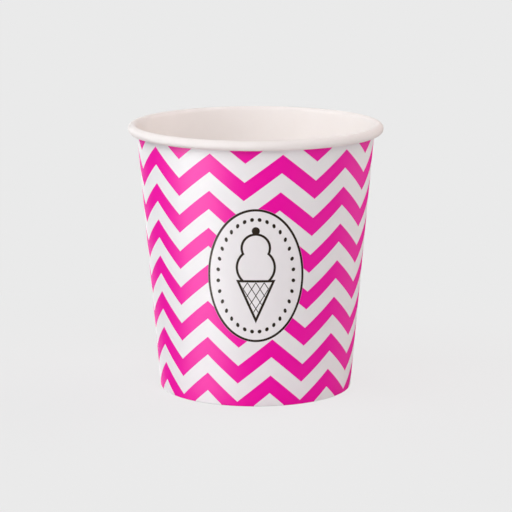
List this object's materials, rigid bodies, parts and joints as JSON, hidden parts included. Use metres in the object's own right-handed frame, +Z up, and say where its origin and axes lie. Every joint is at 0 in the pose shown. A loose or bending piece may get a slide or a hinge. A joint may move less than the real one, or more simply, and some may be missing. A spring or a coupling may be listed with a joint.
{
  "type": "paper ice cream cup",
  "caption": "Tapered round paper cup for ice cream with a rolled rim, a lapped side seam, a folded foot and a recessed base, printed with zigzag stripes.",
  "frame": {"origin": "centre of the foot on the table, on the cup's axis", "axes": "+Z up along the cup's axis, -Y towards the printed front, +X to the right of someone who looks at the front"},
  "size_m": [0.097, 0.097, 0.1016],
  "materials": {
    "printed_board": "satin coated board, printed outside with bright pink zigzag stripes on white",
    "plain_board": "satin coated white board"
  },
  "bodies": {
    "root": {"side_wall": "printed_board", "base_disc": "plain_board"}
  },
  "joints": []
}
